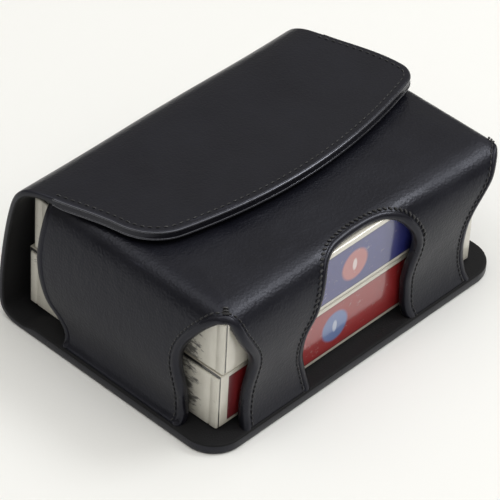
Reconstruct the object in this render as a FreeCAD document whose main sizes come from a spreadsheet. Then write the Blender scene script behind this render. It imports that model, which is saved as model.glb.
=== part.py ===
"""Leather flap case that holds two boxed decks of playing cards, lying on its back panel.

Frame: origin at the centre of the footprint, +X along the long side, +Y towards the folded
spine, +Z up. All sizes are in millimetres and come from the sheet "Sizes".
"""
import FreeCAD, Part
import math
import os
import re
import Sketcher

Vector = FreeCAD.Vector
Rotation = FreeCAD.Rotation

DRIVING_SIZES = {
    "deck_length": 91.0,
    "deck_depth": 65.0,
    "deck_height": 17.2,
    "lower_deck_front": 31.45,
    "upper_deck_front": 32.65,
    "upper_deck_shift": 0.9,
    "board_gauge": 0.5,
    "card_length": 88.9,
    "card_depth": 63.5,
    "card_stack": 15.4,
    "card_corner": 3.2,
    "leather_gauge": 1.1,
    "stiffener_gauge": 1.1,
    "lining_gauge": 0.8,
    "base_length": 103.0,
    "base_front": 36.85,
    "base_corner": 8.5,
    "spine_fold_y": 31.35,
    "spine_fold_radius": 5.5,
    "spine_lean": 4.0,
    "spine_hinge_angle": -30.0,
    "spine_hinge_gap": 14.0,
    "top_fold_radius": 6.5,
    "top_hinge_angle": 45.0,
    "top_hinge_gap": 13.0,
    "flap_length": 95.0,
    "flap_front": 4.8,
    "flap_bow": 8.1,
    "flap_corner": 9.0,
    "flap_top": 42.9,
    "flap_board_rear": 22.55,
    "edge_margin": 1.2,
    "pocket_length": 98.4,
    "pocket_front": 36.45,
    "pocket_rear": 25.05,
    "pocket_top": 39.5,
    "pocket_corner": 4.0,
    "pocket_edge": 3.0,
    "pocket_heel": 8.0,
    "window_half": 18.0,
    "window_crown": 35.8,
    "corner_window_half": 9.8,
    "corner_window_crown": 35.6,
    "binding_reach": 2.5,
    "binding_gauge": 0.4,
    "closure_spread": 27.0,
    "closure_y": 3.75,
    "closure_radius": 5.0,
    "stitch_length": 2.0,
    "stitch_pitch": 3.1,
    "stitch_thread": 0.3,
    "stitch_inset": 2.2,
}

# Places that follow from the driving sizes, written as sheet expressions.
BASE_TOP = "(leather_gauge + stiffener_gauge + lining_gauge)"
LEAN = "(spine_lean * 1 deg)"
TOP_FOLD_Z = "(flap_top - top_fold_radius)"
SPINE_RISE = (f"({TOP_FOLD_Z} - spine_fold_radius"
              f" + (top_fold_radius - spine_fold_radius) * sin({LEAN}))")
TOP_FOLD_Y = (f"(spine_fold_y + (spine_fold_radius - top_fold_radius) * cos({LEAN})"
              f" - {SPINE_RISE} * tan({LEAN}))")
FLAP_UNDERSIDE = "(flap_top - leather_gauge - stiffener_gauge - lining_gauge)"

# Turns a cylinder so that its axis lies along X and its sector starts at +Y.
AXIS_ALONG_X = Rotation(Vector(1, 1, 1), 120)

doc = FreeCAD.newDocument("DeckCase")
sheet = doc.addObject("Spreadsheet::Sheet", "Sizes")
sub_parts = []


# ---------------------------------------------------------------- sheet and helpers

def fill_sheet():
    """Write one row per driving size: its name, its value and its alias."""
    for row, (alias, value) in enumerate(DRIVING_SIZES.items(), start=1):
        sheet.set(f"A{row}", alias)
        sheet.set(f"B{row}", str(value))
        sheet.setAlias(f"B{row}", alias)
    doc.recompute()


def sized(text):
    """Turn an expression in alias names into one that refers to the sheet's cells."""
    def cell(match):
        word = match.group()
        return f"Sizes.{word}" if word in DRIVING_SIZES else word
    return re.sub(r"[a-z_]+", cell, text)


def value(text):
    """The number that an expression in alias names has now."""
    return float(sheet.evalExpression(sized(text)))


def bind(thing, **expressions):
    for name, text in expressions.items():
        thing.setExpression(name, sized(text))


def place(thing, x, y, z):
    for axis, text in zip("xyz", (x, y, z)):
        thing.setExpression(f".Placement.Base.{axis}", sized(text))


def node(thing, label):
    """Mark an object as one finished piece of the case."""
    thing.Label = label
    sub_parts.append(thing)
    return thing


def box(name, corner, size, rotation=None):
    solid = doc.addObject("Part::Box", name)
    if rotation:
        solid.Placement = FreeCAD.Placement(Vector(), rotation)
    bind(solid, Length=size[0], Width=size[1], Height=size[2])
    place(solid, *corner)
    return solid


def cylinder(name, centre, radius, height, rotation, sweep="360"):
    solid = doc.addObject("Part::Cylinder", name)
    solid.Placement = FreeCAD.Placement(Vector(), rotation)
    bind(solid, Radius=radius, Height=height, Angle=sweep)
    place(solid, *centre)
    return solid


def fuse(name, *pieces):
    joined = doc.addObject("Part::MultiFuse", name)
    joined.Shapes = list(pieces)
    joined.Refine = True
    return joined


def cut(name, base, tool):
    result = doc.addObject("Part::Cut", name)
    result.Base = base
    result.Tool = tool
    result.Refine = True
    return result


def common(name, *pieces):
    result = doc.addObject("Part::MultiCommon", name)
    result.Shapes = list(pieces)
    result.Refine = True
    return result


# ---------------------------------------------------------------- plates and blocks

def origin_plane(body, role):
    return next(item for item in body.Origin.OriginFeatures if item.Role == role)


def plan_sketch(body, length, front, rear, level, bow=None):
    """A plan outline centred on X: straight sides and rear, a straight or bowed front.

    front is the distance of the sides' front ends ahead of the origin, rear the distance
    of the rear edge behind it, and bow how far the front edge swells beyond its ends.
    """
    sketch = body.newObject("Sketcher::SketchObject", "Plan")
    sketch.AttachmentSupport = [(origin_plane(body, "XY_Plane"), "")]
    sketch.MapMode = "FlatFace"
    bind(sketch, **{".AttachmentOffset.Base.z": level})
    half = value(length) / 2
    front_y = -value(front)
    rear_y = value(rear)
    left_front = Vector(-half, front_y, 0)
    right_front = Vector(half, front_y, 0)
    sketch.addGeometry(Part.LineSegment(Vector(-half, rear_y, 0), Vector(half, rear_y, 0)))
    sketch.addGeometry(Part.LineSegment(Vector(half, rear_y, 0), right_front))
    if bow:
        crest = Vector(0, front_y - value(bow), 0)
        sketch.addGeometry(Part.Arc(left_front, crest, right_front))
    else:
        sketch.addGeometry(Part.LineSegment(left_front, right_front))
    sketch.addGeometry(Part.LineSegment(left_front, Vector(-half, rear_y, 0)))
    rules = [
        Sketcher.Constraint("Coincident", 0, 2, 1, 1),
        Sketcher.Constraint("Coincident", 1, 2, 2, 2),
        Sketcher.Constraint("Coincident", 2, 1, 3, 1),
        Sketcher.Constraint("Coincident", 3, 2, 0, 1),
        Sketcher.Constraint("Symmetric", 0, 1, 0, 2, -2),
        Sketcher.Constraint("Vertical", 1),
        Sketcher.Constraint("Vertical", 3),
        Sketcher.Constraint("Equal", 1, 3),
    ]
    sketch.addConstraint(rules)
    named_size(sketch, "length", Sketcher.Constraint("DistanceX", 0, 1, 0, 2, 2 * half), length)
    named_size(sketch, "front", Sketcher.Constraint("DistanceY", 1, 2, -1, 1, -front_y), front)
    named_size(sketch, "rear", Sketcher.Constraint("DistanceY", -1, 1, 0, 1, rear_y), rear)
    if bow:
        radius = f"((({length}) / 2) ^ 2 + ({bow}) ^ 2) / (2 * ({bow}))"
        named_size(sketch, "bow", Sketcher.Constraint("Radius", 2, value(radius)), radius)
    return sketch


def named_size(sketch, name, constraint, text):
    index = sketch.addConstraint(constraint)
    sketch.renameConstraint(index, name)
    sketch.setExpression(f"Constraints.{name}", sized(text))


def pad(body, sketch, height):
    feature = body.newObject("PartDesign::Pad", "Thickness")
    feature.Profile = sketch
    bind(feature, Length=height)
    sketch.Visibility = False
    doc.recompute()
    return feature


def round_edges(body, feature, chosen, radius):
    """Fillet the edges of a feature for which chosen(edge) is true."""
    names = [f"Edge{number}" for number, edge in enumerate(feature.Shape.Edges, start=1)
             if chosen(edge)]
    fillet = body.newObject("PartDesign::Fillet", "Rounding")
    fillet.Base = (feature, names)
    bind(fillet, Radius=radius)
    body.Tip = fillet
    doc.recompute()
    return fillet


def is_upright(edge):
    box_size = edge.BoundBox
    return box_size.XLength < 0.01 and box_size.YLength < 0.01


def plate(name, length, front, rear, level, gauge, corner, bow=None, all_corners=False):
    """A flat sheet with rounded front corners, or rounded on all four."""
    body = doc.addObject("PartDesign::Body", name)
    sheet_pad = pad(body, plan_sketch(body, length, front, rear, level, bow), gauge)

    def chosen(edge):
        return is_upright(edge) and (all_corners or edge.CenterOfMass.y < 0)

    round_edges(body, sheet_pad, chosen, corner)
    return body


def moulded_block(name, inset):
    """The pocket's outer form, moved inwards by inset, open to nothing: a solid block."""
    body = doc.addObject("PartDesign::Body", name)
    sketch = plan_sketch(body, f"pocket_length - 2 * ({inset})", f"pocket_front - ({inset})",
                         "pocket_rear", BASE_TOP)
    block = pad(body, sketch, f"pocket_top - ({inset}) - {BASE_TOP}")
    rear = value("pocket_rear")
    upright = round_edges(body, block,
                          lambda edge: is_upright(edge) and edge.CenterOfMass.y < 0,
                          f"pocket_corner - ({inset})")
    top = value(f"pocket_top - ({inset})")

    def on_top(edge):
        return edge.BoundBox.ZMin > top - 0.01 and edge.BoundBox.YMin < rear - 0.01

    round_edges(body, upright, on_top, f"pocket_edge - ({inset}) * 1.05")
    return body


# ---------------------------------------------------------------- the folded strap

def curved_strip(name, centre, radius, gauge, start, sweep, length):
    """A strip bent about a line along X, from polar angle start through sweep degrees."""
    turned = Rotation(Vector(1, 0, 0), value(start)) * AXIS_ALONG_X
    centre_at = (f"-({length}) / 2", *centre)
    outside = cylinder(f"{name}_outside", centre_at, radius, length, turned, sweep)
    inside = cylinder(f"{name}_inside", centre_at, f"({radius}) - ({gauge})", length, turned)
    return cut(name, outside, inside)


def lower_curve(name, depth, gauge, start, sweep):
    return curved_strip(name, ("spine_fold_y", "spine_fold_radius"),
                        f"spine_fold_radius - ({depth})", gauge, start, sweep, "base_length")


def upper_curve(name, depth, gauge, start, sweep, length):
    return curved_strip(name, (TOP_FOLD_Y, TOP_FOLD_Z),
                        f"top_fold_radius - ({depth})", gauge, start, sweep, length)


def spine_taper():
    """The spine narrows from the base's length at the floor to the flap's at the top."""
    wedge = doc.addObject("Part::Wedge", "spine_taper")
    wedge.Placement = FreeCAD.Placement(Vector(), Rotation(Vector(1, 0, 0), 90))
    bind(wedge, Xmin="-base_length / 2", Xmax="base_length / 2", Ymin="0", Ymax="flap_top",
         Zmin="0", Zmax="base_front", X2min="-flap_length / 2", X2max="flap_length / 2",
         Z2min="0", Z2max="base_front")
    place(wedge, "0", "base_front + 1", "0")
    return wedge


def spine_sheet(label, depth, gauge, taper):
    """One layer of the rear wall: a curve at the base, a leaning flat and a curve on top."""
    low = lower_curve(f"{label}_low", depth, gauge, "spine_hinge_angle + spine_hinge_gap",
                      "spine_lean - spine_hinge_angle - spine_hinge_gap")
    high = upper_curve(f"{label}_high", depth, gauge, "spine_lean",
                       "top_hinge_angle - top_hinge_gap - spine_lean", "base_length")
    inner = f"(spine_fold_radius - ({depth}) - ({gauge}))"
    flat = box(f"{label}_flat",
               ("-base_length / 2", f"spine_fold_y + {inner} * cos({LEAN})",
                f"spine_fold_radius + {inner} * sin({LEAN})"),
               ("base_length", gauge, f"{SPINE_RISE} / cos({LEAN})"),
               Rotation(Vector(1, 0, 0), value("spine_lean")))
    strip = fuse(f"{label}_strip", low, flat, high)
    return node(common(f"{label}_piece", strip, taper), label)


def base_panel():
    """The back panel that the case lies on, with the first part of the spine's curve."""
    sweep = "90 + spine_hinge_angle - spine_hinge_gap"
    leather_flat = plate("base_flat", "base_length", "base_front", "spine_fold_y", "0",
                         "leather_gauge", "base_corner")
    leather_curve = lower_curve("base_curve", "0", "leather_gauge", "-90", sweep)
    node(fuse("base_leather_piece", leather_flat, leather_curve), "base_leather")

    node(plate("base_board", "base_length - 2 * edge_margin", "base_front - edge_margin",
               "spine_fold_y", "leather_gauge", "stiffener_gauge", "base_corner - edge_margin"),
         "base_stiffener")

    lining_flat = plate("base_lining_flat", "base_length", "base_front", "spine_fold_y",
                        "leather_gauge + stiffener_gauge", "lining_gauge", "base_corner")
    lining_curve = lower_curve("base_lining_curve", "leather_gauge", "lining_gauge", "-90", sweep)
    step_foot = "(leather_gauge + 0.2)"
    step = box("base_lining_step", ("-base_length / 2", "spine_fold_y", step_foot),
               ("base_length", "lining_gauge", f"{BASE_TOP} - {step_foot}"))
    node(fuse("base_lining_piece", lining_flat, step, lining_curve), "base_lining")


def rear_wall():
    taper = spine_taper()
    spine_sheet("rear_wall_leather", "0", "leather_gauge", taper)
    spine_sheet("rear_wall_lining", "leather_gauge", "lining_gauge", taper)


# ---------------------------------------------------------------- the flap

def flap_plate(name, inset, rear, level, gauge):
    return plate(name, f"flap_length - 2 * ({inset})", f"flap_front - ({inset})", rear, level,
                 gauge, f"flap_corner - ({inset})", bow="flap_bow")


def flap_curve(name, depth, gauge):
    start = "top_hinge_angle + top_hinge_gap"
    return upper_curve(name, depth, gauge, start, f"90 - ({start})", "flap_length")


def flap():
    """Outer leather over a board, with a lining that steps up over the board's rear end."""
    outer = flap_plate("flap_flat", "0", TOP_FOLD_Y, "flap_top - leather_gauge", "leather_gauge")
    node(fuse("flap_leather_piece", outer, flap_curve("flap_fold", "0", "leather_gauge")),
         "flap_leather")

    board = flap_plate("flap_board", "edge_margin", "flap_board_rear",
                       f"{FLAP_UNDERSIDE} + lining_gauge", "stiffener_gauge")
    magnets = closure_discs("magnet", f"{FLAP_UNDERSIDE} + lining_gauge", "stiffener_gauge")
    node(cut("flap_stiffener_piece", board, magnets), "flap_stiffener")
    node(magnets, "flap_magnets")

    low = flap_plate("flap_lining_flat", "0", "flap_board_rear", FLAP_UNDERSIDE, "lining_gauge")
    step = box("flap_lining_step", ("-flap_length / 2", "flap_board_rear", FLAP_UNDERSIDE),
               ("flap_length", "lining_gauge", "lining_gauge + stiffener_gauge"))
    high = box("flap_lining_rear", ("-flap_length / 2", "flap_board_rear",
                                    "flap_top - leather_gauge - lining_gauge"),
               ("flap_length", f"{TOP_FOLD_Y} - flap_board_rear", "lining_gauge"))
    fold = flap_curve("flap_lining_fold", "leather_gauge", "lining_gauge")
    node(fuse("flap_lining_piece", low, step, high, fold), "flap_lining")


def closure_discs(name, level, gauge):
    """Two discs, left and right, that hold the flap down."""
    discs = [cylinder(f"{name}_{side}", (f"{sign}closure_spread", "closure_y", level),
                      "closure_radius", gauge, Rotation())
             for side, sign in (("left", "-"), ("right", ""))]
    return fuse(f"{name}_pair", *discs)


# ---------------------------------------------------------------- the pocket

def arch(name, x, y, turn, half, crown, near, far):
    """A round-topped prism that runs level in the direction turn, from near to far.

    (x, y) is the point that near and far are measured from, and turn is in degrees.
    """
    angle = f"({turn} * 1 deg)"
    start_x = f"({x}) + ({near}) * cos{angle}"
    start_y = f"({y}) + ({near}) * sin{angle}"
    run = f"({far}) - ({near})"
    upright = box(f"{name}_legs",
                  (f"{start_x} + ({half}) * sin{angle}", f"{start_y} - ({half}) * cos{angle}", "0"),
                  (run, f"2 * ({half})", f"({crown}) - ({half})"),
                  Rotation(Vector(0, 0, 1), turn))
    heading = Vector(math.cos(math.radians(turn)), math.sin(math.radians(turn)), 0)
    crest = cylinder(f"{name}_crest", (start_x, start_y, f"({crown}) - ({half})"), half, run,
                     Rotation(Vector(0, 0, 1), heading))
    return fuse(name, upright, crest)


def window_arch(name, window, grow="0"):
    """The cutter for one window, or for its binding's outer edge when it is grown."""
    if window == "front":
        return arch(name, "0", "-pocket_front", 90, f"window_half + ({grow})",
                    f"window_crown + ({grow})", "-4", "2.6")
    side, turn = {"left": ("-", 45), "right": ("", 135)}[window]
    return arch(name, f"{side}pocket_length / 2", "-pocket_front", turn,
                f"corner_window_half + ({grow})", f"corner_window_crown + ({grow})", "-4", "16")


def heel_cutter():
    """Rounds the lower rear corner of both side walls."""
    start = "pocket_rear - pocket_heel"
    left = "-base_length / 2"
    corner = box("heel_corner", (left, start, BASE_TOP),
                 ("base_length", "pocket_heel + 1", "pocket_heel"))
    round_part = cylinder("heel_round", (left, start, f"{BASE_TOP} + pocket_heel"),
                          "pocket_heel", "base_length", AXIS_ALONG_X)
    return cut("heel_cutter", corner, round_part)


def pocket():
    """The moulded shell over the decks: leather outside, lining inside, three windows."""
    shell_gauge = "(leather_gauge + lining_gauge)"
    outer = moulded_block("pocket_form", "0")
    middle = moulded_block("pocket_form_inside", "leather_gauge")
    inner = moulded_block("pocket_hollow", shell_gauge)
    proud = moulded_block("pocket_form_bound", "-binding_gauge")
    windows = [window_arch(f"{name}_window", name) for name in ("front", "left", "right")]
    openings = fuse("pocket_openings", *windows, heel_cutter())

    leather_shell = cut("pocket_leather_shell", outer, middle)
    node(cut("pocket_leather_piece", leather_shell, openings), "pocket_leather")

    plates = closure_discs("strike", f"pocket_top - {shell_gauge}", "lining_gauge")
    lining_shell = cut("pocket_lining_shell", middle, inner)
    lining_open = cut("pocket_lining_open", lining_shell, openings)
    node(cut("pocket_lining_piece", lining_open, plates), "pocket_lining")
    node(plates, "strike_plates")

    skin = cut("binding_skin", proud, outer)
    for name, window in zip(("front", "left", "right"), windows):
        rim = cut(f"{name}_rim", window_arch(f"{name}_rim_outside", name, "binding_reach"), window)
        label = "front_window_binding" if name == "front" else f"{name}_corner_binding"
        node(common(f"{name}_binding_piece", skin, rim), label)


# ---------------------------------------------------------------- the decks

def deck(prefix, front, level, shift):
    """One tuck box of thin board, its end flap with a tongue, and the cards inside."""
    left = f"{shift} - deck_length / 2"
    outside = box(f"{prefix}_box_outside", (left, front, level),
                  ("deck_length", "deck_depth", "deck_height"))
    hollow = box(f"{prefix}_box_hollow",
                 (left, f"{front} + board_gauge", f"{level} + board_gauge"),
                 ("deck_length - board_gauge", "deck_depth - 2 * board_gauge",
                  "deck_height - 2 * board_gauge"))
    node(cut(f"{prefix}_tuck_box_piece", outside, hollow), f"{prefix}_tuck_box")

    end = box(f"{prefix}_end", (left, f"{front} + board_gauge", f"{level} + board_gauge"),
              ("board_gauge", "deck_depth - 2 * board_gauge", "deck_height - 2 * board_gauge"))
    tongue = box(f"{prefix}_tongue",
                 (left, f"{front} + 2", f"{level} + deck_height - 2 * board_gauge"),
                 ("deck_height", "deck_depth - 4", "board_gauge"))
    node(fuse(f"{prefix}_tuck_flap_piece", end, tongue), f"{prefix}_tuck_flap")

    cards = plate(f"{prefix}_card_stack", "card_length",
                  f"-({front}) - (deck_depth - card_depth) / 2",
                  f"({front}) + (deck_depth + card_depth) / 2",
                  f"{level} + board_gauge", "card_stack", "card_corner", all_corners=True)
    place(cards, shift, "0", "0")
    node(cards, f"{prefix}_cards")


# ---------------------------------------------------------------- the stitching

def stitch(middle, along, outward):
    """One stitch lying on a surface at middle, with its thread standing outward."""
    long_side = value("stitch_length")
    thread = value("stitch_thread")
    bar = Part.makeBox(long_side, 2 * thread, thread)
    turned = Rotation(along, outward.cross(along), outward, "ZXY")
    corner = turned.multVec(Vector(-long_side / 2, -thread, 0))
    bar.Placement = FreeCAD.Placement(middle + corner, turned)
    return bar


def stitching(label, stitches):
    row = doc.addObject("Part::Feature", f"{label}_row")
    row.Shape = Part.makeCompound(stitches)
    return node(row, label)


def steps(start, end):
    """Evenly pitched places between start and end, both included."""
    count = max(1, round(abs(end - start) / value("stitch_pitch")))
    return [start + (end - start) * index / count for index in range(count + 1)]


def arch_stations(half, crown, foot):
    """(across, height, slope) along a round-topped arch, from its left foot to its right."""
    spring = crown - half
    legs = steps(foot, spring)
    stations = [(-half, height, 90.0) for height in legs[:-1]]
    arc_length = math.pi * half
    for run in steps(0.0, arc_length):
        turn = math.degrees(run / half)
        stations.append((-half * math.cos(math.radians(turn)),
                         spring + half * math.sin(math.radians(turn)), 90.0 - turn))
    stations += [(half, height, -90.0) for height in reversed(legs[:-1])]
    return stations


def front_window_stitching():
    reach = value("window_half + binding_reach + 1")
    crown = value("window_crown + binding_reach + 1")
    forward = Vector(0, -1, 0)
    face = -value("pocket_front")
    limit = value("pocket_top - pocket_edge - stitch_thread")
    rows = []
    for across, height, slope in arch_stations(reach, crown, value(f"{BASE_TOP} + 2")):
        if height < limit:
            along = Vector(math.cos(math.radians(slope)), 0, math.sin(math.radians(slope)))
            rows.append(stitch(Vector(across, face, height), along, forward))
    stitching("front_window_stitching", rows)


def corner_window_stitching():
    """Rows beside both corner windows, on the front face and on the side faces."""
    reach = value("corner_window_half + binding_reach + 1")
    crown = value("corner_window_crown + binding_reach + 1")
    half_length = value("pocket_length / 2")
    front = value("pocket_front")
    clear_of_corner = value("pocket_corner + 1")
    rows = []
    for across, height, slope in arch_stations(reach, crown, value(f"{BASE_TOP} + 2")):
        run = across * math.sqrt(2)
        if run < clear_of_corner or height > value("pocket_top - pocket_edge - stitch_thread"):
            continue
        climb = Vector(math.cos(math.radians(slope)) * math.sqrt(2), 0,
                       math.sin(math.radians(slope))).normalize()
        for side in (-1, 1):
            on_front = Vector(side * (half_length - run), -front, height)
            rows.append(stitch(on_front, Vector(-side * climb.x, 0, climb.z), Vector(0, -1, 0)))
            on_side = Vector(side * half_length, run - front, height)
            rows.append(stitch(on_side, Vector(0, climb.x, climb.z), Vector(side, 0, 0)))
    stitching("corner_window_stitching", rows)


def base_stitching():
    """Two rows that sew the pocket's sides to the base, on the lip beside each side wall."""
    lip = value("(pocket_length + base_length) / 4")
    level = value(BASE_TOP)
    start = value("-pocket_front + 22")
    end = value("pocket_rear")
    rows = [stitch(Vector(side * lip, y, level), Vector(0, 1, 0), Vector(0, 0, 1))
            for side in (-1, 1) for y in steps(start, end)]
    stitching("base_stitching", rows)


def flap_stitching():
    """One row just inside the flap's edge: a side, a corner, the bowed front and back."""
    inset = value("stitch_inset")
    half = value("flap_length / 2")
    corner = value("flap_corner")
    bow = value("flap_bow")
    front = value("flap_front")
    bow_radius = (half ** 2 + bow ** 2) / (2 * bow)
    bow_centre = Vector(0, bow_radius - bow - front, 0)
    corner_x = half - corner
    corner_y = bow_centre.y - math.sqrt((bow_radius - corner) ** 2 - corner_x ** 2)
    bow_end = math.asin(corner_x / (bow_radius - corner))
    corner_reach = corner - inset
    bow_reach = bow_radius - inset
    level = Vector(0, 0, value("flap_top"))
    upward = Vector(0, 0, 1)

    def on_circle(centre, radius, turn, mirror):
        """A stitch at turn radians from straight ahead, round a circle's centre."""
        outward = Vector(mirror * math.sin(turn), -math.cos(turn), 0)
        along = Vector(-outward.y, outward.x, 0)
        return stitch(centre + outward * radius + level, along, upward)

    rows = [on_circle(bow_centre, bow_reach, run / bow_reach, 1)
            for run in steps(-bow_end * bow_reach, bow_end * bow_reach)]
    for side in (-1, 1):
        centre = Vector(side * corner_x, corner_y, 0)
        rows += [on_circle(centre, corner_reach, run / corner_reach, side)
                 for run in steps(bow_end * corner_reach, math.pi / 2 * corner_reach)[1:-1]]
        rows += [stitch(Vector(side * (half - inset), y, 0) + level, Vector(0, 1, 0), upward)
                 for y in steps(corner_y, value("flap_board_rear"))]
    stitching("flap_stitching", rows)


# ---------------------------------------------------------------- build, check and write

def check_document():
    """Stop if a feature failed or a piece is empty or not valid."""
    for thing in doc.Objects:
        if "Invalid" in thing.State or "Error" in thing.State:
            raise RuntimeError(f"{thing.Label} failed: {thing.State}")
    for piece in sub_parts:
        if piece.Shape.isNull() or not piece.Shape.isValid() or not piece.Shape.Solids:
            raise RuntimeError(f"{piece.Label} has no valid solid")


def write_pieces():
    os.makedirs("parts", exist_ok=True)
    for piece in sub_parts:
        piece.Shape.exportStep(f"parts/{piece.Label}.step")


fill_sheet()
base_panel()
rear_wall()
flap()
pocket()
deck("lower", "-lower_deck_front", BASE_TOP, "0")
deck("upper", "-upper_deck_front", f"({BASE_TOP} + deck_height)", "upper_deck_shift")
front_window_stitching()
corner_window_stitching()
base_stitching()
flap_stitching()
doc.recompute()
check_document()
write_pieces()
for piece in sub_parts:
    print(f"{piece.Label}: {len(piece.Shape.Solids)} solids, {piece.Shape.Volume:.1f} mm3")
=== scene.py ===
"""Looks of the leather deck case: skins, bound windows, stitching and the two boxed decks.

Every length below is in millimetres in the row frame; meshes are scaled to metres.
"""
import math

import bmesh
import bpy
import numpy as np
from mathutils import Matrix, Vector


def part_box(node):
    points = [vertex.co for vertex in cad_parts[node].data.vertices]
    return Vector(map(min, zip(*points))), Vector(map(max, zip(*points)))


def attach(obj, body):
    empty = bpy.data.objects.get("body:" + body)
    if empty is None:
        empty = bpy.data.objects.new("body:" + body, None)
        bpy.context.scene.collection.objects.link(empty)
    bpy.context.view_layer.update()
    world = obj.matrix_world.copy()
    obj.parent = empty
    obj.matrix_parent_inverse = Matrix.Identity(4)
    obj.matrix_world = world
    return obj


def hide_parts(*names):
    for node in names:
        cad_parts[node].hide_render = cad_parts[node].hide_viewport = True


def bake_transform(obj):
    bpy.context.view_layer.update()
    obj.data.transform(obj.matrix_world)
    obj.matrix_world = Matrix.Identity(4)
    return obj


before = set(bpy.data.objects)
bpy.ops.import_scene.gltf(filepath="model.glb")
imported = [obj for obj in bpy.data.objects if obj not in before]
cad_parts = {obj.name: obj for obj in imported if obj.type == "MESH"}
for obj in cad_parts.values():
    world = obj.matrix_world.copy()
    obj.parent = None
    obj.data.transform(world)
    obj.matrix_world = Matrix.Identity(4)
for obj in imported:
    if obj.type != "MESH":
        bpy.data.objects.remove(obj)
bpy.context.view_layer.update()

MM = 0.001
CASE, REAR_WALL, FLAP = "case", "rear_wall", "flap"

BASE_HALF, BASE_TOP, BASE_FRONT, BASE_CORNER = 51.5, 3.0, 37.6, 8.5
FLAP_HALF, FLAP_BOW, FLAP_FRONT = 47.0, 8.1, 4.8
LEFT_CORNER, RIGHT_CORNER = 9.0, 4.5
WALL_HALF, WALL_FRONT, WALL_REAR, WALL_CORNER = 49.2, 36.45, 25.6, 3.5
SKIN, BOARDED, SPINE = 1.9, 3.0, 1.9
ROLL = 0.55
APEX_C, CROWN_C, FLAT_C, REAR_C = 38.2, 40.1, 43.5, 58.0


# ---------------------------------------------------------------- numbers and curves

def smooth_curve(points, count):
    """Points evenly spaced along a smooth curve that passes through the given ones."""
    points = np.array(points, float)
    ends = [2 * points[0] - points[1], 2 * points[-1] - points[-2]]
    padded = np.vstack([ends[0], points, ends[1]])
    dense = []
    for before, start, end, after in zip(padded, padded[1:], padded[2:], padded[3:]):
        for t in np.linspace(0, 1, 24, endpoint=False):
            dense.append(0.5 * (2 * start + (end - before) * t
                                + (2 * before - 5 * start + 4 * end - after) * t ** 2
                                + (3 * start - before - 3 * end + after) * t ** 3))
    dense = np.array(dense + [points[-1]])
    length = np.concatenate([[0], np.cumsum(np.linalg.norm(np.diff(dense, axis=0), axis=1))])
    wanted = np.linspace(0, length[-1], count)
    return np.column_stack([np.interp(wanted, length, column) for column in dense.T])


def arc_length(points):
    steps = np.linalg.norm(np.diff(np.array(points), axis=0), axis=1)
    return np.concatenate([[0], np.cumsum(steps)])


def ease(t):
    t = min(max(t, 0.0), 1.0)
    return t * t * (3 - 2 * t)


def unit(vector):
    return np.array(vector) / max(np.linalg.norm(vector), 1e-12)


def clustered(low, high, step, fine=()):
    """Values from low to high, one per step, with extra ones at the fine values."""
    even = np.linspace(low, high, max(2, round((high - low) / step) + 1))
    values = sorted(list(even) + [v for v in fine if low < v < high])
    kept = [values[0]]
    for v in values[1:]:
        if v - kept[-1] > 0.02:
            kept.append(v)
    return kept


# ---------------------------------------------------------------- meshes

class Sheet:
    """Collects quads for one piece; each face has a material index."""

    def __init__(self):
        self.points, self.faces, self.indices = [], [], []

    def add(self, points):
        first = len(self.points)
        self.points.extend(np.asarray(p, float) for p in points)
        return list(range(first, len(self.points)))

    def face(self, corners, index=0):
        if len(set(corners)) >= 3:
            self.faces.append(tuple(dict.fromkeys(corners)))
            self.indices.append(index)

    def strip(self, one, other, index=0):
        for a, b, c, d in zip(one, one[1:], other[1:], other):
            self.face((a, b, c, d), index)

    def grid(self, rows, index=0, flip=False):
        """rows of points; returns the rows of point numbers."""
        numbers = [self.add(row) for row in rows]
        for one, other in zip(numbers, numbers[1:]):
            if flip:
                self.strip(other, one, index)
            else:
                self.strip(one, other, index)
        return numbers

    def shell(self, outer, inner, slots):
        """Outer and inner rows of points joined round their border."""
        out_rows = self.grid(outer, slots[0])
        in_rows = self.grid(inner, slots[1], flip=True)
        for top, low in ((out_rows[0], in_rows[0]), (in_rows[-1], out_rows[-1])):
            self.strip(low, top, slots[2])
        for side, turn in ((0, False), (-1, True)):
            top = [row[side] for row in out_rows]
            low = [row[side] for row in in_rows]
            self.strip(*((low, top) if turn else (top, low)), slots[2])

    def build(self, name, materials, weld=0.0):
        mesh = bpy.data.meshes.new(name)
        mesh.from_pydata([tuple(p * MM) for p in self.points], [], self.faces)
        for material in materials:
            mesh.materials.append(material)
        mesh.polygons.foreach_set("material_index", self.indices)
        piece = bpy.data.objects.new(name, mesh)
        bpy.context.scene.collection.objects.link(piece)
        tidy_mesh(mesh, weld)
        return piece


def tidy_mesh(mesh, weld):
    """Weld, drop flat faces, turn normals outwards and shade smooth."""
    work = bmesh.new()
    work.from_mesh(mesh)
    if weld:
        bmesh.ops.remove_doubles(work, verts=work.verts, dist=weld * MM)
    bmesh.ops.dissolve_degenerate(work, edges=work.edges, dist=1e-7)
    bmesh.ops.recalc_face_normals(work, faces=work.faces)
    for face in work.faces:
        face.smooth = True
    work.to_mesh(mesh)
    work.free()


def sharpen(piece, degrees=40):
    piece.data.set_sharp_from_angle(angle=math.radians(degrees))
    return piece


def sweep(sheet, sections):
    """Skin over a row of sections, each one a ring of points, with its ends closed."""
    rings = [sheet.add(section) for section in sections]
    for one, other in zip(rings, rings[1:]):
        sheet.strip(one + one[:1], other + other[:1])
    sheet.face(tuple(reversed(rings[0])))
    sheet.face(tuple(rings[-1]))


# ---------------------------------------------------------------- the strap's shape

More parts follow.
